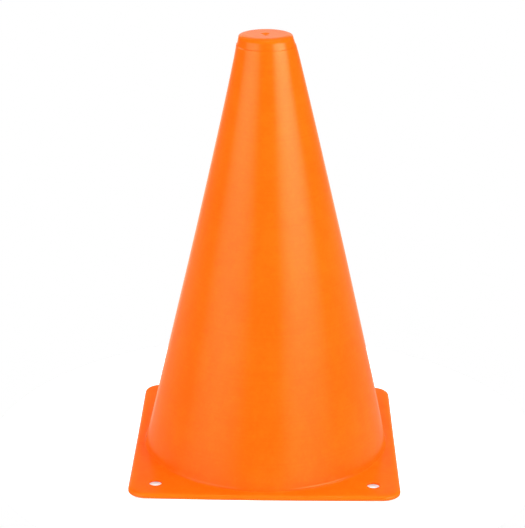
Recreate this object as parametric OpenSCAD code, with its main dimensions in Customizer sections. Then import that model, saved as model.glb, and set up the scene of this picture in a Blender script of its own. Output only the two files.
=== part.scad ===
// Sports marker cone: a thin hollow cone that rises out of a square base plate,
// closed at the top by a small flat cap above a ring seam.
// Units are millimetres. +Z is up; the origin is the centre of the footprint, on the floor.

/* [Base plate] */
// side of the square base, measured over the rounded rim
base_w = 140; // [110:1:180]
// height of the plate's top face above the floor
base_h = 2.4; // [2:0.1:5]
// thickness of the plate inside its turned-down rim
plate_t = 1.3; // [0.8:0.1:1.8]
// corner radius of the base, seen from above
base_corner_r = 9.5; // [5:0.5:16]
// rounding of the rim's upper outer edge
base_edge_r = 1.4; // [0.4:0.1:1.8]
// width of the turned-down rim that rests on the floor
rim_t = 1.6; // [1:0.1:3]

/* [Cone] */
// height of the whole part above the floor
overall_h = 226; // [180:1:280]
// width of the plate left between the cone's foot and the middle of each side
foot_margin = 4.9; // [4:0.1:14]
// outer radius of the cone at the ring seam
cone_seam_r = 15.3; // [11:0.05:22]
// wall thickness of the cone, measured square to the wall
wall_t = 1.3; // [0.8:0.1:2]
// concave fillet where the cone meets the plate's top face
root_fillet_r = 1.2; // [0.4:0.1:2.5]
// rounding of the hollow's lower edge, under the plate
mouth_round_r = 0.9; // [0.3:0.1:1.2]

/* [Top cap] */
// height of the cap, from the ring seam to the top face
cap_h = 5.6; // [5:0.1:12]
// how far the cap's wall stands back from the cone's wall at the seam
seam_step = 0.15; // [0:0.05:0.5]
// how far the cap's wall leans in from the seam to the top face
cap_lean = 1.4; // [0.5:0.05:3]
// rounding of the cap's upper edge
cap_edge_r = 2.9; // [0.8:0.1:3.5]
// thickness of the cap's flat top
cap_t = 1.7; // [1.3:0.1:3]
// rounding inside the cap, under its upper edge
cap_inner_r = 1.6; // [0.4:0.1:2.5]
// radius of the moulding gate's dimple in the top face
gate_dimple_r = 2.6; // [2:0.1:5]
// depth of the moulding gate's dimple
gate_dimple_d = 0.6; // [0.3:0.1:0.9]
// radius of the gate mark left in the dimple
gate_mark_r = 0.8; // [0.4:0.1:1]
// height of the gate mark above the bottom of the dimple
gate_mark_h = 0.45; // [0.2:0.05:0.6]
// how far the gate mark sits off the cone's axis
gate_mark_x = 0.7; // [0:0.1:0.9]

/* [Peg holes] */
// radius of the peg hole in each corner of the base
peg_hole_r = 3.2; // [2:0.1:5]
// distance from each peg hole's centre to the two nearest sides
peg_inset = 13.8; // [10:0.1:17]

/* [Hidden] */
$fn = 96;
overrun = 1;                                      // how far a cut runs past a face
bite = 0.01;                                      // how far a wall starts inside the rounding that it meets
seam_z = overall_h - cap_h;                       // height of the ring seam
plate_z = base_h - plate_t;                       // underside of the plate
corner_c = base_w / 2 - base_corner_r;            // centre of each base corner's arc
peg_c = base_w / 2 - peg_inset;                   // place of each peg hole along X and Y
cone_root_r = base_w / 2 - foot_margin;           // outer radius of the cone at the plate
run = cone_root_r - cone_seam_r;                  // how far the cone narrows
rise = seam_z - base_h;                           // over this height
taper = atan(run / rise);                         // the cone's half angle
wall_x = wall_t / cos(taper);                     // wall thickness measured level
cap_seam_r = cone_seam_r - seam_step;             // the cap's outer radius at the seam
cap_top_r = cap_seam_r - cap_lean;                // and at the top face, with a sharp edge
cap_taper = atan(cap_lean / cap_h);               // the cap's own half angle
roof_z = overall_h - cap_t;                       // underside of the cap's flat top

cone_orange = [1.0, 0.46, 0.09];
cap_orange = [1.0, 0.50, 0.16];

// radius of the hollow inside the cone at height z
function bore_r(z) = cone_root_r - (z - base_h) * run / rise - wall_x;

// half section of the base's border: plate, turned-down rim and rounded upper edge
module border_section() {
    edge_x = base_corner_r - base_edge_r;
    edge_z = base_h - base_edge_r;
    intersection() {
        union() {
            translate([0, plate_z]) square([base_corner_r, plate_t]);
            translate([base_corner_r - rim_t, 0]) square([rim_t, base_h]);
        }
        union() {
            square([edge_x, base_h]);
            square([base_corner_r, edge_z]);
            intersection() {
                translate([edge_x, edge_z]) circle(r = base_edge_r);
                translate([edge_x, edge_z]) square(base_edge_r);
            }
        }
    }
}

module base_corners() {
    for (a = [0, 90, 180, 270])
        rotate([0, 0, a])
            translate([corner_c, corner_c, 0])
                rotate_extrude(angle = 90) border_section();
}

module base_sides() {
    for (a = [0, 90, 180, 270])
        rotate([0, 0, a])
            translate([corner_c, corner_c, 0])
                rotate([90, 0, 0])
                    linear_extrude(height = 2 * corner_c) border_section();
}

module base_middle() {
    translate([-corner_c, -corner_c, plate_z])
        cube([2 * corner_c, 2 * corner_c, plate_t]);
}

module peg_holes() {
    for (x = [-peg_c, peg_c], y = [-peg_c, peg_c])
        translate([x, y, plate_z - overrun])
            cylinder(r = peg_hole_r, h = plate_t + 2 * overrun);
}

// half section of the cone's outside up to the seam, with the concave fillet at its foot
module cone_outer_section() {
    reach = root_fillet_r * tan((90 - taper) / 2);
    arc_x = cone_root_r + reach;
    arc_z = base_h + root_fillet_r;
    wall_r = root_fillet_r - bite;
    difference() {
        polygon([[0, plate_z],
                 [arc_x, plate_z],
                 [arc_x, arc_z],
                 [arc_x - wall_r * cos(taper), arc_z - wall_r * sin(taper)],
                 [cone_seam_r, seam_z],
                 [0, seam_z]]);
        translate([arc_x, arc_z]) circle(r = root_fillet_r);
    }
}

// half section of the hollow inside the cone: open below, with a rounded mouth
module bore_section() {
    reach = mouth_round_r * tan((90 - taper) / 2);
    arc_x = bore_r(plate_z) + reach;
    arc_z = plate_z + mouth_round_r;
    wall_r = mouth_round_r - bite;
    difference() {
        polygon([[0, plate_z - overrun],
                 [arc_x, plate_z - overrun],
                 [arc_x, arc_z],
                 [arc_x - wall_r * cos(taper), arc_z - wall_r * sin(taper)],
                 [bore_r(seam_z + overrun), seam_z + overrun],
                 [0, seam_z + overrun]]);
        translate([arc_x, arc_z]) circle(r = mouth_round_r);
    }
}

module cone_body() {
    color(cone_orange)
    difference() {
        union() {
            base_middle();
            base_sides();
            base_corners();
            rotate_extrude() cone_outer_section();
        }
        rotate_extrude() bore_section();
        peg_holes();
    }
}

// half section of the cap's outside: tapered wall, rounded edge, flat top
module cap_outer_section() {
    arc_x = cap_top_r - cap_edge_r * (1 - sin(cap_taper)) / cos(cap_taper);
    arc_z = overall_h - cap_edge_r;
    polygon([[0, seam_z],
             [cap_seam_r, seam_z],
             [arc_x + cap_edge_r * cos(cap_taper), arc_z + cap_edge_r * sin(cap_taper)],
             [arc_x, overall_h],
             [0, overall_h]]);
    translate([arc_x, arc_z]) circle(r = cap_edge_r);
}

// half section of the hollow under the cap, meeting the cone's hollow at the seam
module cap_inner_section() {
    roof_r = bore_r(roof_z);
    arc_x = roof_r - cap_inner_r * (1 - sin(taper)) / cos(taper);
    arc_z = roof_z - cap_inner_r;
    polygon([[0, seam_z - overrun],
             [bore_r(seam_z - overrun), seam_z - overrun],
             [arc_x + cap_inner_r * cos(taper), arc_z + cap_inner_r * sin(taper)],
             [arc_x, roof_z],
             [0, roof_z]]);
    translate([arc_x, arc_z]) circle(r = cap_inner_r);
}

module top_cap() {
    dimple_ball_r = (gate_dimple_r * gate_dimple_r + gate_dimple_d * gate_dimple_d)
                    / (2 * gate_dimple_d);
    color(cap_orange)
    union() {
        difference() {
            rotate_extrude()
                difference() {
                    cap_outer_section();
                    cap_inner_section();
                }
            translate([0, 0, overall_h - gate_dimple_d + dimple_ball_r])
                sphere(r = dimple_ball_r);
        }
        translate([gate_mark_x, 0, roof_z])
            cylinder(r = gate_mark_r, h = cap_t - gate_dimple_d + gate_mark_h);
    }
}

cone_body();
top_cap();
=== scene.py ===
import math

import bmesh
import bpy
import numpy as np
from mathutils import Matrix, Vector


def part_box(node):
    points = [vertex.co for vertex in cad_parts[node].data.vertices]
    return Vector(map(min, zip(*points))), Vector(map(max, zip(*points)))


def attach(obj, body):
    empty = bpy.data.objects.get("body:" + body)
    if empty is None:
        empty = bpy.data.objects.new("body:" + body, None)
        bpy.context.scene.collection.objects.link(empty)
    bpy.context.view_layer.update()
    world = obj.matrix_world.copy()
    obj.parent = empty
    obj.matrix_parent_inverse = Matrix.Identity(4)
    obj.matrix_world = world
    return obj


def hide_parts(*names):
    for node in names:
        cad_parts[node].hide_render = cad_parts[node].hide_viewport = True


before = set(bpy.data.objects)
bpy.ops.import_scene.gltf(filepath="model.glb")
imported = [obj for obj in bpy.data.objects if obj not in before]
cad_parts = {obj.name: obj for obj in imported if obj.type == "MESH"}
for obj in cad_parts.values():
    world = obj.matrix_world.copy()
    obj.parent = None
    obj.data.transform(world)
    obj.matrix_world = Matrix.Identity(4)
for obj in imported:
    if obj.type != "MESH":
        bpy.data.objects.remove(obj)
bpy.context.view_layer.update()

MM = 0.001

# Sizes that come from the frame, in metres
_, body_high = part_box("cone_body")
cap_low, cap_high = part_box("top_cap")
BASE_HALF = body_high.x
SEAM_Z = cap_low.z
TOP_Z = cap_high.z
CAP_SEAM_R = cap_high.x

# Sizes of the shell, the same as those of the solids
BASE_H = 2.4 * MM
PLATE_T = 1.3 * MM
CORNER_R = 9.5 * MM
EDGE_R = 1.4 * MM
RIM_T = 1.6 * MM
FOOT_MARGIN = 4.9 * MM
SEAM_R = 15.3 * MM
WALL_T = 1.3 * MM
MOUTH_R = 0.9 * MM
CAP_LEAN = 1.4 * MM
CAP_T = 1.7 * MM
CAP_INNER_R = 1.6 * MM
DIMPLE_R = 2.6 * MM
GATE_R = 0.8 * MM
GATE_H = 0.45 * MM
GATE_X = 0.7 * MM
PEG_R = 3.2 * MM
PEG_INSET = 13.8 * MM

# Roundings of the shell that differ from the solids or that they leave out
ROOT_FILLET_R = 0.8 * MM
HOLE_ROUND = 0.35 * MM
SMALL_ROUND = 0.3 * MM
SEAM_ROUND = 0.22 * MM
CAP_ROUND = 0.1 * MM

# The cap in the photo: narrower than its solid, moved a little aside, its edge rounded wide and low
CAP_SHRINK = 0.2 * MM
CAP_OFFSET = 0.05 * MM
CAP_EDGE_W = 3.5 * MM
CAP_EDGE_H = 1.0 * MM

# Its flat top rolls down to the left, about a line just outside the flat's right edge
CAP_ROLL = math.radians(0.7)
CAP_ROLL_PIVOT = 1 * MM

# The top's outer part sits further back: from a radius, in full after a width, and less with depth
FLAT_BACK = 1.0 * MM
FLAT_BACK_FROM = 4 * MM
FLAT_BACK_WIDTH = 5 * MM
FLAT_BACK_DEPTH = 2 * MM

# The dimple is a shallow cone, this much longer from front to back
DIMPLE_D = 0.66 * MM
DIMPLE_LONG = 1.3

# The torn gate mark: lobes of its outline as (how many, how deep, phase), soft flank, and uneven crown
GATE_LOBES = ((3, 0.12, 0.7), (7, 0.07, 0.0))
GATE_FLANK = 0.09 * MM
CROWN_DROP = 0.3
CROWN_LOBES = 4
CROWN_PHASE = 1.0

# Flash just above the seam, weaker at the right, and how narrow it is round the cone
FLASH_H = 0.35 * MM
FLASH_Z = 0.45 * MM
FLASH_SPREAD = 0.35 * MM
FLASH_RIGHT = 0.7
FLASH_NARROW = 8

# The thin raised line at the cone's foot
FOOT_LINE_OUT = 0.14 * MM
FOOT_LINE_Z = 0.8 * MM
FOOT_LINE_W = 0.32 * MM

# Waves of the soft wall as (weight, how many round the cone, twist over the height, phase)
WALL_WAVE = 0.1 * MM
WAVES = ((1, 2, 5.0, 0.6), (0.6, 3, -9.0, 2.1), (0.35, 5, 16.0, 0.0))

# The waves fade in above the floor and out below the seam, over these shares of the height
WAVES_FADE_IN = 0.08
WAVES_FADE_OUT = 0.1

# How far the front and back edges of the plate are drawn in at their ends
SIDE_BOW = 0.35 * MM

# The thin plate curls up a little at its corners, by (side, front or back)
CORNER_LIFT = {
    (-1, -1): 0.45 * MM,
    (1, -1): 0.5 * MM,
    (-1, 1): 1.25 * MM,
    (1, 1): 0.8 * MM,
}

# The soft cone is a little bent: how far its top stands aside, its middle from a straight line,
# and its tip from where the cone below would lead it
TOP_SHIFT = -1.1 * MM
MIDDLE_BOW = 1.0 * MM
TIP_SHIFT = -0.55 * MM
TIP_H = 12 * MM
TIP_POWER = 1.5

# How far above the plate a vertex still counts as the plate's, and how far below the top as on it
ON_PLATE_SLACK = MM / 10
ON_TOP_SLACK = MM / 100

# How finely the shell is cut up
AROUND = 512
ARC_STEPS = 8
SEAM_STEPS = 3
RIM_STEPS = 4
WALL_ROWS = 64
PLATE_ROWS = 8
FOOT_BAND = 3.0 * MM
FOOT_ROWS = 24
HOLE_SIDES = 64
HOLE_STEPS = 5
HOLE_FLARE = 72
CAP_EDGE_POINTS = 15
CAP_WALL_ROWS = 23
SHARP_ANGLE = math.radians(17)

# Rings across the cap's roof, flat and dimple, and the radii between which they lie;
# those of the roof are shares of its own radius
ROOF_RINGS = 8
ROOF_SHARES = (0.02, 0.9)
FLAT_RINGS = 14
FLAT_END = 1.5 * DIMPLE_R
DIMPLE_RINGS = 48
DIMPLE_START = DIMPLE_R * 1.45
DIMPLE_END = 0.05 * MM

# Sizes that follow from those above
ROOT_Z = BASE_H
PLATE_Z = BASE_H - PLATE_T
ROOT_R = BASE_HALF - FOOT_MARGIN
SLOPE = (ROOT_R - SEAM_R) / (SEAM_Z - ROOT_Z)
TAPER = math.atan(SLOPE)
WALL_X = WALL_T / math.cos(TAPER)
THETA = (np.arange(AROUND) + 0.5) * 2 * math.pi / AROUND
RAY = np.stack([np.cos(THETA), np.sin(THETA)], axis=1)

# Optics of the plastic; the tint yellows what it mirrors head-on
PLASTIC_IOR = 1.5
PLASTIC_SPECULAR = 0.5
PLASTIC_TINT = (1.0, 0.93, 0.5, 1)
ROUGHNESS = (0.17, 0.23)

# Its oranges, the orange of the painted ledge highlight, the range of the patterns over which its
# colour and roughness change, and their mean
DEEP_ORANGE = (0.97, 0.128, 0.0025, 1)
LIGHT_ORANGE = (1.0, 0.16, 0.0045, 1)
LEDGE_HIGHLIGHT_ORANGE = (1.0, 0.25, 0.06, 1)
PATTERN_RANGE = (0.3, 0.7)
PATTERN_MEAN = 0.5

# Patterns in it as (scale, detail, stretch), and how strongly they show in the colour
CLOUDS = (28, 4)
STREAKS = (90, 3, (1, 1, 0.06))
SPECKLE = (160, 4)
GRAIN = (650, 2)
PATCHES = (60, 5)
SKIN = (1400, 2)
RING_SCALE = 900
RING_DETAIL = 3
CLOUD_WEIGHT = 0.55
STREAK_WEIGHT = 0.35
SPECKLE_WEIGHT = 0.35
GRAIN_WEIGHT = 0.4
RING_WEIGHT = 0.2
MOTTLE_SHIFT = 0.05

# Painted shade low down with a little painted light high up, and a painted glow near the plate's rim,
# as (start, end, change before, change after)
HEIGHT_PAINTED_SHADE = (0.03, 0.12, -0.1, 0.04)
RIM_PAINTED_GLOW = (0.066, 0.0695, 0, 0.35)

# Relief of the skin and of the tool rings, which are deepest low down
RING_FADE = (0.012, 0.07, 1.0, 0.3)
RING_RELIEF = 0.7
SKIN_RELIEF = 0.5
BUMP_STRENGTH = 0.35
BUMP_DEPTH = 0.00004

# Where a highlight is painted on the lit ledge under the seam: azimuth from the front, and how that
# fades out
LEDGE_HIGHLIGHT_AZIMUTH = -60
LEDGE_HIGHLIGHT_ALONG = (1 * MM, 4.5 * MM, 1, 0)
LEDGE_HIGHLIGHT_BELOW = 0.15 * MM
LEDGE_HIGHLIGHT_ACROSS = (0.1 * MM, 0.55 * MM, 1, 0)

# Camera and picture, from the photo's frame of 525 by 528 pixels
PICTURE_LONG_SIDE = 528
SENSOR_W = 36.0
FOCAL_PX = 1810.96
CAM_DISTANCE = 0.8973
CAM_HEIGHT = 0.4244
CAM_AZIMUTH = math.radians(0.515)
CAM_PITCH = math.radians(19.71)
CAM_PAN = math.radians(-0.15)
CAM_ROLL = math.radians(0.374)
CLIP_NEAR = 0.01
CLIP_FAR = 50

# The white table, and how much of its own white the camera sees on it
TABLE_R = 0.15
TABLE_SIDES = 96
TABLE_GREY = 0.9
TABLE_LIFT = 0.52

# The room that lights the object and shows in its gloss; the side, the top and the horizon
# are where a fade starts and ends
ROOM_LIGHT = 0.065
BACKDROP_LIGHT = 0.6
TABLE_SHEEN = 0.56
TABLE_BEHIND = 1.44
TABLE_WARMTH = (1.0, 0.62, 0.43, 1)
BACKDROP_FACING = (0.04, -1, 0)
BACKDROP_SIDE = (0.835, 0.97)
BACKDROP_TOP = (0.41, 0.35)
HORIZON = (0.0, -0.2)

# Lamps; a size is width and height, TOP_AIM is azimuth and elevation, and other pairs are left
# and right
WHITE = (1.0, 1.0, 1.0)
SIDES = ("left", "right")
LAMP_DISTANCE = 1.0
SIDE_AZIMUTH = (-54, 50)
SIDE_ELEVATION = 7.3
SIDE_SIZE = (1.35, 0.8)
SIDE_POWER = (10.6, 24.3)
SIDE_COLOUR = ((1.0, 0.97, 1.0), (1.0, 1.0, 0.96))
SIDE_FADE = (0.85, 1.4)
SIDE_LEAN = (0.0, -0.42)
LEAN_PIVOT = 0.54
TOP_SIZE = (0.7, 0.7)
TOP_AIM = (115, 78)
TOP_POWER = 11.0
TOP_FADE = 0
FILL_AZIMUTH = (-90, 90)
FILL_LIGHT = (0.76, 0.54)
FILL_SPREAD = math.radians(172)


def outer_r(z):
    """Radius of the cone's outside at height z."""
    return ROOT_R - (z - ROOT_Z) * SLOPE


def bore_r(z):
    """Radius of the hollow at height z."""
    return outer_r(z) - WALL_X


def arc(cx, cz, r, start, end, steps=ARC_STEPS):
    """Points (radius, height) along an arc, from one angle to another in degrees."""
    angles = np.radians(np.linspace(start, end, steps + 1))
    return [(cx + r * math.cos(a), cz + r * math.sin(a)) for a in angles]


def between(first, last, rows):
    """Rings or points spaced evenly between two, without the two themselves."""
    steps = np.linspace(0, 1, rows + 1)[1:-1]
    return [first + (last - first) * t for t in steps]


def round_ring(r, z):
    """A level circle of points."""
    return np.column_stack([RAY * r, np.full(AROUND, z)])


def square_ring(half, corner, z):
    """A level square with round corners, one point on each ray."""
    far = np.abs(RAY).max(axis=1)
    near = np.abs(RAY).min(axis=1)
    core = half - corner
    along = half / far
    total = core * (far + near)
    in_corner = along * near > core
    reach = total + np.sqrt(np.maximum(total**2 - 2 * core**2 + corner**2, 0))
    along = np.where(in_corner, reach, along)
    return np.column_stack([RAY * along[:, None], np.full(AROUND, z)])


def quads(low, high):
    """Faces between two rings, given the number of the first vertex of each."""
    index = np.arange(AROUND)
    after = (index + 1) % AROUND
    return np.stack([low + index, low + after, high + after, high + index], axis=1)


def mesh_piece(name, vertices, faces):
    """A new mesh object with its normals outward."""
    mesh = bpy.data.meshes.new(name)
    mesh.from_pydata([tuple(v) for v in vertices], [], [tuple(f) for f in faces])
    work = bmesh.new()
    work.from_mesh(mesh)
    bmesh.ops.recalc_face_normals(work, faces=work.faces)
    work.to_mesh(mesh)
    work.free()
    piece = bpy.data.objects.new(name, mesh)
    bpy.context.scene.collection.objects.link(piece)
    return piece


def closed_loft(name, rings):
    """A closed skin through rings that run round a section and back to the first ring."""
    count = len(rings)
    faces = [quads(row * AROUND, (row + 1) % count * AROUND) for row in range(count)]
    return mesh_piece(name, np.vstack(rings), np.vstack(faces))


def capped_loft(name, vertices):
    """A closed skin through rings of vertices, with one face over each of its two end rings."""
    last = len(vertices) - AROUND
    faces = []
    for low in range(0, last, AROUND):
        faces += quads(low, low + AROUND).tolist()
    faces.append(range(AROUND))
    faces.append(range(last, last + AROUND))
    return mesh_piece(name, vertices, faces)


def smooth(piece):
    """Smooth shading with true edges kept sharp."""
    work = bmesh.new()
    work.from_mesh(piece.data)
    for face in work.faces:
        face.smooth = True
    for edge in work.edges:
        edge.smooth = len(edge.link_faces) == 2 and edge.calc_face_angle() < SHARP_ANGLE
    work.to_mesh(piece.data)
    work.free()


def bake_modifiers(piece):
    """Puts the result of the modifiers into the mesh."""
    graph = bpy.context.evaluated_depsgraph_get()
    done = bpy.data.meshes.new_from_object(piece.evaluated_get(graph))
    piece.modifiers.clear()
    piece.data = done


def wall_rings():
    """Rings down the cone's outside, from the seam to the end of the fillet at its foot."""
    seam_edge = arc(SEAM_R - SEAM_ROUND, SEAM_Z - SEAM_ROUND, SEAM_ROUND, 90, 0, SEAM_STEPS)
    rings = [round_ring(r, z) for r, z in seam_edge]

    root_reach = ROOT_FILLET_R * math.tan((math.pi / 2 - TAPER) / 2)
    fillet_start = 180 + math.degrees(TAPER)
    fillet = arc(ROOT_R + root_reach, ROOT_Z + ROOT_FILLET_R, ROOT_FILLET_R, fillet_start, 270)
    fillet_rings = [round_ring(r, z) for r, z in fillet]
    band_top = round_ring(outer_r(ROOT_Z + FOOT_BAND), ROOT_Z + FOOT_BAND)
    rings += between(rings[-1], band_top, WALL_ROWS)

    # the raised line at the foot
    low_rings = [band_top] + between(band_top, fillet_rings[0], FOOT_ROWS) + fillet_rings
    for ring in low_rings:
        from_line = (ring[0, 2] - ROOT_Z - FOOT_LINE_Z) / FOOT_LINE_W
        ring[:, :2] += RAY * FOOT_LINE_OUT * math.exp(-from_line**2)
    return rings + low_rings


def rim_rings():
    """Rings over the plate's upper edge, under its turned-down rim and up inside that."""
    rounds = (
        (EDGE_R, BASE_H - EDGE_R, EDGE_R, 90, 0, ARC_STEPS),
        (SMALL_ROUND, SMALL_ROUND, SMALL_ROUND, 0, -90, RIM_STEPS),
        (RIM_T - SMALL_ROUND, SMALL_ROUND, SMALL_ROUND, 270, 180, RIM_STEPS),
        (RIM_T + SMALL_ROUND, PLATE_Z - SMALL_ROUND, SMALL_ROUND, 0, 90, RIM_STEPS),
    )
    return [
        square_ring(BASE_HALF - inset + r, CORNER_R - inset + r, z)
        for inset, centre_z, radius, start, end, steps in rounds
        for r, z in arc(0, centre_z, radius, start, end, steps)
    ]


def bore_rings():
    """Rings from the hollow's rounded mouth up to the seam."""
    mouth_reach = MOUTH_R * math.tan((math.pi / 2 - TAPER) / 2)
    mouth_end = 180 + math.degrees(TAPER)
    mouth = arc(bore_r(PLATE_Z) + mouth_reach, PLATE_Z + MOUTH_R, MOUTH_R, 270, mouth_end)
    rings = [round_ring(r, z) for r, z in mouth]
    bore_top = round_ring(bore_r(SEAM_Z), SEAM_Z)
    rings += between(rings[-1], bore_top, WALL_ROWS // 2)
    rings.append(bore_top)
    return rings


def cone_rings():
    """Rings of the cone body's skin, from the seam down the outside and back up the hollow."""
    rings = wall_rings()
    plate_edge = square_ring(BASE_HALF - EDGE_R, CORNER_R - EDGE_R, BASE_H)
    rings += between(rings[-1], plate_edge, PLATE_ROWS)
    rings += rim_rings()
    bore = bore_rings()
    rings += between(rings[-1], bore[0], PLATE_ROWS)
    return rings + bore


def hole_cutter(x, y):
    """A spool that cuts one peg hole and rounds both its edges."""
    centre_r = PEG_R + HOLE_ROUND
    top = arc(centre_r, BASE_H - HOLE_ROUND, HOLE_ROUND, 180 - HOLE_FLARE, 180, HOLE_STEPS)
    low = arc(centre_r, PLATE_Z + HOLE_ROUND, HOLE_ROUND, 180, 180 + HOLE_FLARE, HOLE_STEPS)
    profile = [(top[0][0], BASE_H + HOLE_ROUND)] + top + low + [(low[-1][0], PLATE_Z - HOLE_ROUND)]
    angles = np.arange(HOLE_SIDES) * 2 * math.pi / HOLE_SIDES
    points = [
        (x + r * math.cos(a), y + r * math.sin(a), z)
        for r, z in profile
        for a in angles
    ]
    faces = []
    for row in range(len(profile) - 1):
        for k in range(HOLE_SIDES):
            a, b = row * HOLE_SIDES + k, row * HOLE_SIDES + (k + 1) % HOLE_SIDES
            faces.append((a, b, b + HOLE_SIDES, a + HOLE_SIDES))
    faces.append(range(HOLE_SIDES))
    faces.append(range(len(points) - HOLE_SIDES, len(points)))
    return mesh_piece("hole_cutter", points, faces)


def cut_holes(piece):
    """Cuts the four peg holes through the plate."""
    centre = BASE_HALF - PEG_INSET
    for x in (-centre, centre):
        for y in (-centre, centre):
            cutter = hole_cutter(x, y)
            cut = piece.modifiers.new("hole", "BOOLEAN")
            cut.operation = "DIFFERENCE"
            cut.solver = "EXACT"
            cut.object = cutter
            bake_modifiers(piece)
            bpy.data.objects.remove(cutter)


def bend(points):
    """Moves points aside as the bent cone does, and those of the plate not at all."""
    level = np.clip((points[:, 2] - ROOT_Z) / (TOP_Z - ROOT_Z), 0, 1)
    tip = np.clip((points[:, 2] - TOP_Z + TIP_H) / TIP_H, 0, 1)
    bow = MIDDLE_BOW * 4 * level * (1 - level)
    points[:, 0] += TOP_SHIFT * level + bow + TIP_SHIFT * tip**TIP_POWER


def soften(piece):
    """Gives the shell the waves, bowed edges, curled corners and slight bend of a soft moulding."""
    mesh = piece.data
    points = np.empty(len(mesh.vertices) * 3)
    mesh.vertices.foreach_get("co", points)
    points = points.reshape(-1, 3)
    x, y, z = points.T.copy()
    angle = np.arctan2(y, x)
    level = z / TOP_Z
    wave = sum(
        weight * np.sin(lobes * angle + twist * level + phase)
        for weight, lobes, twist, phase in WAVES
    )
    fade_in = np.clip(level / WAVES_FADE_IN, 0, 1)
    fade_out = np.clip((SEAM_Z - z) / (WAVES_FADE_OUT * TOP_Z), 0, 1)
    radius = np.hypot(x, y)
    grown = 1 + WALL_WAVE * wave * (fade_in * fade_out) / np.maximum(radius, SEAM_R)
    points[:, 0] = x * grown
    points[:, 1] = y * grown

    # the plate has no waves; its front and back edges are drawn in at their ends
    on_plate = z < BASE_H + ON_PLATE_SLACK
    draw_y = 1 - SIDE_BOW / BASE_HALF * (x / BASE_HALF) ** 2
    outward = np.clip((radius - ROOT_R) / FOOT_MARGIN, 0, 1)
    points[:, 0] = np.where(on_plate, x, points[:, 0])
    points[:, 1] = np.where(on_plate, y * (1 + (draw_y - 1) * outward), points[:, 1])

    for (side, end), lift in CORNER_LIFT.items():
        share = np.maximum(side * x, 0) * np.maximum(end * y, 0) / BASE_HALF**2
        points[:, 2] += lift * share**2 * outward
    bend(points)
    mesh.vertices.foreach_set("co", points.ravel())
    mesh.update()


def make_cone_body():
    """The cone's wall, base plate, rim and peg holes as one closed skin."""
    piece = closed_loft("cone_body_shell", cone_rings())
    cut_holes(piece)
    soften(piece)
    smooth(piece)
    return piece


def cap_profile():
    """Points (radius, height) of the cap's section.

    They run from the middle of its roof out and down to the seam, up the outside, over an edge
    that is wider than high and runs into the wall smoothly, and in to the middle of the top.
    """
    cap_taper = math.atan(CAP_LEAN / (TOP_Z - SEAM_Z))
    seam_r = CAP_SEAM_R - CAP_SHRINK
    top_r = seam_r - CAP_LEAN
    roof_z = TOP_Z - CAP_T
    inner_x = bore_r(roof_z) - CAP_INNER_R * (1 - math.sin(TAPER)) / math.cos(TAPER)
    inside = [(inner_x * t, roof_z) for t in np.linspace(*ROOF_SHARES, ROOF_RINGS)]
    inside += arc(inner_x, roof_z - CAP_INNER_R, CAP_INNER_R, 90, math.degrees(TAPER))
    inside += [(bore_r(SEAM_Z), SEAM_Z)]
    outside = arc(seam_r - CAP_ROUND, SEAM_Z + CAP_ROUND, CAP_ROUND, 270, 360, SEAM_STEPS)
    edge = []
    for turn in np.linspace(0, math.pi / 2, CAP_EDGE_POINTS):
        below = CAP_EDGE_H * (1 - math.sin(turn))
        wall_r = top_r + below * math.tan(cap_taper)
        edge.append((wall_r - CAP_EDGE_W * (1 - math.cos(turn)), TOP_Z - below))
    wall = between(np.array(outside[-1]), np.array(edge[0]), CAP_WALL_ROWS)
    edge_x = edge[-1][0]
    flat_steps = np.linspace(0, 1, FLAT_RINGS)[1:]
    flat = [(edge_x + (FLAT_END - edge_x) * t, TOP_Z) for t in flat_steps]
    dimple = [(r, TOP_Z) for r in np.linspace(DIMPLE_START, DIMPLE_END, DIMPLE_RINGS)]
    return inside + outside + wall + edge + flat + dimple


def shape_top(vertices, flat_r):
    """Shapes the cap's top: the dimple with its torn gate mark, and the shift and roll of the flat.

    flat_r is the flat's radius. x, y and z are views, so each step sees what those before it moved.
    """
    x, y, z = vertices.T
    on_top = z > TOP_Z - ON_TOP_SLACK
    share = np.clip(np.hypot(x, y / DIMPLE_LONG) / DIMPLE_R, 0, 1)
    bowl = TOP_Z - DIMPLE_D * (1 - share)

    from_gate = np.hypot(x - GATE_X, y)
    turn = np.arctan2(y, x - GATE_X)
    lobes = (depth * np.sin(count * turn + phase) for count, depth, phase in GATE_LOBES)
    torn = GATE_R * sum(lobes, start=1)
    uneven = 0.5 + 0.5 * np.sin(CROWN_LOBES * turn + CROWN_PHASE)
    crown = 1 - CROWN_DROP * uneven * np.clip(from_gate / GATE_R, 0, 1)
    mark = TOP_Z - DIMPLE_D + GATE_H * crown
    inside = 1 / (1 + np.exp((from_gate - torn) / GATE_FLANK))
    vertices[:, 2] = np.where(on_top, bowl + inside * np.maximum(mark - bowl, 0), z)

    high_up = np.clip(1 - (TOP_Z - z) / FLAT_BACK_DEPTH, 0, 1)
    far_out = np.clip((np.hypot(x, y) - FLAT_BACK_FROM) / FLAT_BACK_WIDTH, 0, 1)
    vertices[:, 1] = y + FLAT_BACK * (high_up * far_out)
    near_top = np.clip((z - SEAM_Z) / (TOP_Z - SEAM_Z), 0, 1) ** 2
    vertices[:, 2] += near_top * math.tan(CAP_ROLL) * (x - flat_r - CAP_ROLL_PIVOT)


def raise_flash(vertices):
    """Swells the skin just above the seam at the left and right, where the mould let flash out."""
    x, y, z = vertices.T.copy()
    angle = np.arctan2(y, x)
    at_side = np.abs(np.cos(angle)) ** FLASH_NARROW * np.where(x < 0, 1.0, FLASH_RIGHT)
    at_seam = np.exp(-(((z - SEAM_Z - FLASH_Z) / FLASH_SPREAD) ** 2))
    outside = np.hypot(x, y) > bore_r(z) + WALL_X / 2
    grown = 1 + FLASH_H * at_side * at_seam * outside / SEAM_R
    vertices[:, 0] = x * grown
    vertices[:, 1] = y * grown


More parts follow.
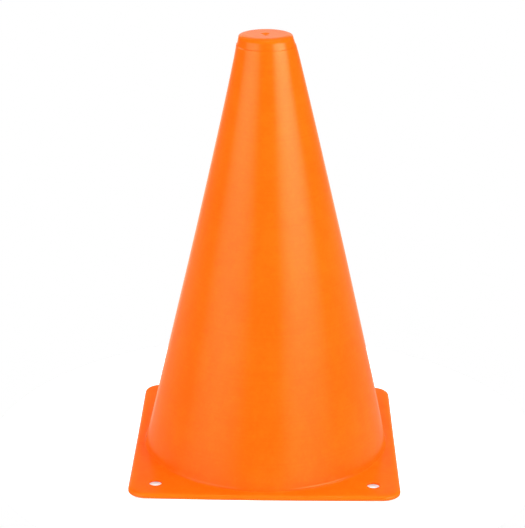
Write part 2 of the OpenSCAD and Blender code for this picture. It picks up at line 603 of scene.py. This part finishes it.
def make_top_cap():
    """The short closed end above the seam, as one closed skin."""
    vertices = np.vstack([round_ring(r, z) for r, z in cap_profile()])
    shape_top(vertices, CAP_SEAM_R - CAP_SHRINK - CAP_LEAN - CAP_EDGE_W)
    raise_flash(vertices)
    bend(vertices)
    vertices[:, 0] += CAP_OFFSET
    piece = capped_loft("top_cap_shell", vertices)
    smooth(piece)
    return piece


def math_node(tree, kind, *values):
    """The output of a new math node, fed with numbers and with outputs of other nodes."""
    node = tree.nodes.new("ShaderNodeMath")
    node.operation = kind
    for socket, value in zip(node.inputs, values):
        if isinstance(value, (int, float)):
            socket.default_value = value
        else:
            tree.links.new(value, socket)
    return node.outputs["Value"]


def any_ray(tree, names):
    """1 for a ray of any of the named kinds and 0 for all others."""
    path = tree.nodes.new("ShaderNodeLightPath")
    found = path.outputs[names[0]]
    for name in names[1:]:
        found = math_node(tree, "MAXIMUM", found, path.outputs[name])
    return found


def empty_tree(owner):
    """The cleared node tree of a material or world."""
    owner.use_nodes = True
    owner.node_tree.nodes.clear()
    return owner.node_tree


def polyethylene():
    """Satin orange polyethylene: faint clouding, flow streaks, a fine skin and tool rings low down."""
    material = bpy.data.materials.new("orange_polyethylene")
    tree = empty_tree(material)
    nodes, links = tree.nodes, tree.links
    shader = nodes.new("ShaderNodeBsdfPrincipled")
    output = nodes.new("ShaderNodeOutputMaterial")
    links.new(shader.outputs["BSDF"], output.inputs["Surface"])
    shader.inputs["IOR"].default_value = PLASTIC_IOR
    shader.inputs["Specular IOR Level"].default_value = PLASTIC_SPECULAR
    shader.inputs["Specular Tint"].default_value = PLASTIC_TINT

    place = nodes.new("ShaderNodeTexCoord").outputs["Object"]
    parts = nodes.new("ShaderNodeSeparateXYZ")
    links.new(place, parts.inputs["Vector"])
    height = parts.outputs["Z"]

    def add(first, second):
        return math_node(tree, "ADD", first, second)

    def times(first, second):
        return math_node(tree, "MULTIPLY", first, second)

    def absolute(value):
        return math_node(tree, "ABSOLUTE", value)

    def noise(scale, detail, stretch=(1, 1, 1)):
        mapping = nodes.new("ShaderNodeMapping")
        mapping.inputs["Scale"].default_value = stretch
        links.new(place, mapping.inputs["Vector"])
        texture = nodes.new("ShaderNodeTexNoise")
        texture.inputs["Scale"].default_value = scale
        texture.inputs["Detail"].default_value = detail
        links.new(mapping.outputs["Vector"], texture.inputs["Vector"])
        return texture.outputs["Fac"]

    def remap(value, low, high, to_low, to_high):
        node = nodes.new("ShaderNodeMapRange")
        links.new(value, node.inputs["Value"])
        node.inputs["From Min"].default_value = low
        node.inputs["From Max"].default_value = high
        node.inputs["To Min"].default_value = to_low
        node.inputs["To Max"].default_value = to_high
        return node.outputs["Result"]

    # tool rings turned into the mould
    ring_noise = nodes.new("ShaderNodeTexNoise")
    ring_noise.noise_dimensions = "1D"
    ring_noise.inputs["Detail"].default_value = RING_DETAIL
    ring_noise.inputs["Scale"].default_value = RING_SCALE
    links.new(height, ring_noise.inputs["W"])
    tool_rings = ring_noise.outputs["Fac"]

    # the mottle, with painted shade and light added to it below, takes the colour from the deeper
    # orange to the lighter one
    mottle_and_painted_light = add(times(noise(*CLOUDS), CLOUD_WEIGHT), times(noise(*STREAKS), STREAK_WEIGHT))
    finer_patterns = (
        (noise(*SPECKLE), SPECKLE_WEIGHT),
        (noise(*GRAIN), GRAIN_WEIGHT),
        (tool_rings, RING_WEIGHT),
    )
    for pattern, weight in finer_patterns:
        mottle_and_painted_light = add(mottle_and_painted_light, times(math_node(tree, "SUBTRACT", pattern, PATTERN_MEAN), weight))
    mottle_and_painted_light = add(mottle_and_painted_light, MOTTLE_SHIFT)
    # painted shade low down, and a little painted light high up
    mottle_and_painted_light = add(mottle_and_painted_light, remap(height, *HEIGHT_PAINTED_SHADE))
    # a painted glow of light through the plate's border
    far_x, far_y = absolute(parts.outputs["X"]), absolute(parts.outputs["Y"])
    from_middle = math_node(tree, "MAXIMUM", far_x, far_y)
    mottle_and_painted_light = add(mottle_and_painted_light, remap(from_middle, *RIM_PAINTED_GLOW))
    ramp = nodes.new("ShaderNodeValToRGB")
    colours = (DEEP_ORANGE, LIGHT_ORANGE)
    for stop, position, colour in zip(ramp.color_ramp.elements, PATTERN_RANGE, colours):
        stop.position = position
        stop.color = colour
    links.new(mottle_and_painted_light, ramp.inputs["Fac"])

    # a painted highlight on the lit ledge under the seam, for a short way at the left front
    from_spot = nodes.new("ShaderNodeVectorMath")
    from_spot.operation = "DISTANCE"
    links.new(place, from_spot.inputs[0])
    turn = math.radians(LEDGE_HIGHLIGHT_AZIMUTH)
    from_spot.inputs[1].default_value = (
        SEAM_R * math.sin(turn) + TOP_SHIFT, -SEAM_R * math.cos(turn), SEAM_Z
    )
    along = remap(from_spot.outputs["Value"], *LEDGE_HIGHLIGHT_ALONG)
    off_seam = absolute(math_node(tree, "SUBTRACT", height, SEAM_Z - LEDGE_HIGHLIGHT_BELOW))
    across = remap(off_seam, *LEDGE_HIGHLIGHT_ACROSS)
    painted_highlight = nodes.new("ShaderNodeMix")
    painted_highlight.data_type = "RGBA"
    links.new(times(along, across), painted_highlight.inputs["Factor"])
    links.new(ramp.outputs["Color"], painted_highlight.inputs["A"])
    painted_highlight.inputs["B"].default_value = LEDGE_HIGHLIGHT_ORANGE
    links.new(painted_highlight.outputs["Result"], shader.inputs["Base Color"])

    links.new(remap(noise(*PATCHES), *PATTERN_RANGE, *ROUGHNESS), shader.inputs["Roughness"])

    ring_relief = times(times(tool_rings, remap(height, *RING_FADE)), RING_RELIEF)
    relief = add(ring_relief, times(noise(*SKIN), SKIN_RELIEF))
    bump = nodes.new("ShaderNodeBump")
    bump.inputs["Strength"].default_value = BUMP_STRENGTH
    bump.inputs["Distance"].default_value = BUMP_DEPTH
    links.new(relief, bump.inputs["Height"])
    links.new(bump.outputs["Normal"], shader.inputs["Normal"])
    return material


def dress(piece, material, node):
    """Gives a piece its material, hangs it under the root body, and hides the solid it stands for."""
    piece.data.materials.clear()
    piece.data.materials.append(material)
    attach(piece, "root")
    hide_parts(node)


def make_camera():
    """The camera at the photo's place."""
    data = bpy.data.cameras.new("camera")
    data.sensor_width = SENSOR_W
    data.lens = FOCAL_PX * SENSOR_W / PICTURE_LONG_SIDE
    data.clip_start = CLIP_NEAR
    data.clip_end = CLIP_FAR
    camera = bpy.data.objects.new("camera", data)
    turn = (
        Matrix.Rotation(CAM_AZIMUTH - CAM_PAN, 4, "Z")
        @ Matrix.Rotation(math.pi / 2 - CAM_PITCH, 4, "X")
        @ Matrix.Rotation(CAM_ROLL, 4, "Z")
    )
    place = Matrix.Rotation(CAM_AZIMUTH, 4, "Z") @ Vector((0, -CAM_DISTANCE, CAM_HEIGHT))
    camera.matrix_world = Matrix.Translation(place) @ turn
    bpy.context.scene.collection.objects.link(camera)
    bpy.context.scene.camera = camera


def softbox(name, azimuth, elevation, size, power, colour, fade, lean=0, in_gloss=True):
    """A lamp that faces the cone from an azimuth (0 is the camera's side) and elevation.

    It is dimmer towards its left and right edges, and downwards by the power that fade gives.
    lean slants the bright band in its middle, about the level LEAN_PIVOT up the lamp. A lamp that
    is not in_gloss lights the object and is not mirrored in it.
    """
    data = bpy.data.lights.new(name, "AREA")
    data.shape = "RECTANGLE"
    data.size, data.size_y = size
    data.energy = power
    data.color = colour
    lamp = bpy.data.objects.new(name, data)
    a, e = math.radians(azimuth), math.radians(elevation)
    away = Vector((math.sin(a) * math.cos(e), -math.cos(a) * math.cos(e), math.sin(e)))
    lamp.location = away * LAMP_DISTANCE + Vector((0, 0, TOP_Z / 2))
    lamp.rotation_euler = away.to_track_quat("Z", "Y").to_euler()
    lamp.visible_glossy = in_gloss
    bpy.context.scene.collection.objects.link(lamp)

    data.use_nodes = True
    tree = data.node_tree
    place = tree.nodes.new("ShaderNodeSeparateXYZ")
    on_lamp = tree.nodes.new("ShaderNodeNewGeometry").outputs["Parametric"]
    tree.links.new(on_lamp, place.inputs["Vector"])
    across, up = place.outputs["X"], place.outputs["Y"]
    shifted = math_node(tree, "ADD", across, -LEAN_PIVOT * lean)
    slanted = math_node(tree, "MULTIPLY_ADD", up, lean, shifted)
    slanted.node.use_clamp = True
    bell = math_node(tree, "SINE", math_node(tree, "MULTIPLY", slanted, math.pi))
    rising = math_node(tree, "POWER", up, fade)
    strength = math_node(tree, "MULTIPLY", bell, rising)
    tree.links.new(strength, tree.nodes["Emission"].inputs["Strength"])


def fill_light(name, azimuth, strength):
    """An even light from half of the room, which shows in no gloss."""
    data = bpy.data.lights.new(name, "SUN")
    data.angle = FILL_SPREAD
    data.energy = math.pi * strength
    data.cycles.use_multiple_importance_sampling = False
    lamp = bpy.data.objects.new(name, data)
    lamp.rotation_euler = (math.pi / 2, 0, math.radians(azimuth))
    lamp.visible_glossy = False
    bpy.context.scene.collection.objects.link(lamp)


def make_floor():
    """A round white table that looks white where it is lit and keeps the cone's shadow."""
    turns = [2 * math.pi * k / TABLE_SIDES for k in range(TABLE_SIDES)]
    edge = [(TABLE_R * math.cos(t), TABLE_R * math.sin(t), 0) for t in turns]
    floor = mesh_piece("floor", edge, [range(TABLE_SIDES)])
    material = bpy.data.materials.new("white_table")
    tree = empty_tree(material)
    nodes, links = tree.nodes, tree.links
    output = nodes.new("ShaderNodeOutputMaterial")
    cloth = nodes.new("ShaderNodeBsdfDiffuse")
    cloth.inputs["Color"].default_value = (TABLE_GREY, TABLE_GREY, TABLE_GREY, 1)
    lift = nodes.new("ShaderNodeEmission")
    lift_strength = math_node(tree, "MULTIPLY", any_ray(tree, ("Is Camera Ray",)), TABLE_LIFT)
    links.new(lift_strength, lift.inputs["Strength"])
    lit = nodes.new("ShaderNodeAddShader")
    links.new(cloth.outputs["BSDF"], lit.inputs[0])
    links.new(lift.outputs["Emission"], lit.inputs[1])
    links.new(lit.outputs["Shader"], output.inputs["Surface"])
    floor.data.materials.append(material)
    floor.visible_glossy = False


def make_world():
    """White to the camera, and to the object a dim room with a low pale backdrop behind it.

    Below the horizon it is the table, which looks warm and is brightest under the backdrop.
    """
    world = bpy.data.worlds.new("studio")
    world.cycles.sampling_method = "NONE"
    bpy.context.scene.world = world
    tree = empty_tree(world)
    nodes, links = tree.nodes, tree.links

    def background(strength, colour=(1, 1, 1, 1)):
        node = nodes.new("ShaderNodeBackground")
        node.inputs["Color"].default_value = colour
        node.inputs["Strength"].default_value = strength
        return node.outputs["Background"]

    def mixed(share, first, second):
        node = nodes.new("ShaderNodeMixShader")
        links.new(share, node.inputs["Fac"])
        links.new(first, node.inputs[1])
        links.new(second, node.inputs[2])
        return node.outputs["Shader"]

    def fade(value, start, end):
        node = nodes.new("ShaderNodeMapRange")
        node.interpolation_type = "SMOOTHSTEP"
        node.inputs["From Min"].default_value = start
        node.inputs["From Max"].default_value = end
        links.new(value, node.inputs["Value"])
        return node.outputs["Result"]

    direction = nodes.new("ShaderNodeTexCoord").outputs["Generated"]
    toward = nodes.new("ShaderNodeSeparateXYZ")
    links.new(direction, toward.inputs["Vector"])
    height = toward.outputs["Z"]
    facing = nodes.new("ShaderNodeVectorMath")
    facing.operation = "DOT_PRODUCT"
    links.new(direction, facing.inputs[0])
    facing.inputs[1].default_value = [-part for part in BACKDROP_FACING]
    behind = fade(facing.outputs["Value"], *BACKDROP_SIDE)
    on_backdrop = math_node(tree, "MULTIPLY", behind, fade(height, *BACKDROP_TOP))
    below = fade(height, *HORIZON)
    room = mixed(below, background(ROOM_LIGHT), background(TABLE_SHEEN, TABLE_WARMTH))
    backdrop = mixed(below, background(BACKDROP_LIGHT), background(TABLE_BEHIND, TABLE_WARMTH))
    studio = mixed(on_backdrop, room, backdrop)
    straight_through = any_ray(tree, ("Is Camera Ray", "Is Transmission Ray"))
    seen = mixed(straight_through, studio, background(1.0))
    links.new(seen, nodes.new("ShaderNodeOutputWorld").inputs["Surface"])


def make_lights():
    """A softbox at each side, one overhead that shows in no gloss, and an even fill from each side."""
    softboxes = zip(SIDES, SIDE_AZIMUTH, SIDE_POWER, SIDE_COLOUR, SIDE_FADE, SIDE_LEAN)
    for side, azimuth, power, colour, fade, lean in softboxes:
        softbox(side + "_softbox", azimuth, SIDE_ELEVATION, SIDE_SIZE, power, colour, fade, lean)
    softbox("overhead_softbox", *TOP_AIM, TOP_SIZE, TOP_POWER, WHITE, TOP_FADE, in_gloss=False)
    for side, azimuth, strength in zip(SIDES, FILL_AZIMUTH, FILL_LIGHT):
        fill_light(side + "_fill", azimuth, strength)


make_camera()
make_world()
make_lights()
make_floor()
plastic = polyethylene()
dress(make_cone_body(), plastic, "cone_body")
dress(make_top_cap(), plastic, "top_cap")

scene = bpy.context.scene
scene.view_settings.view_transform = "Standard"
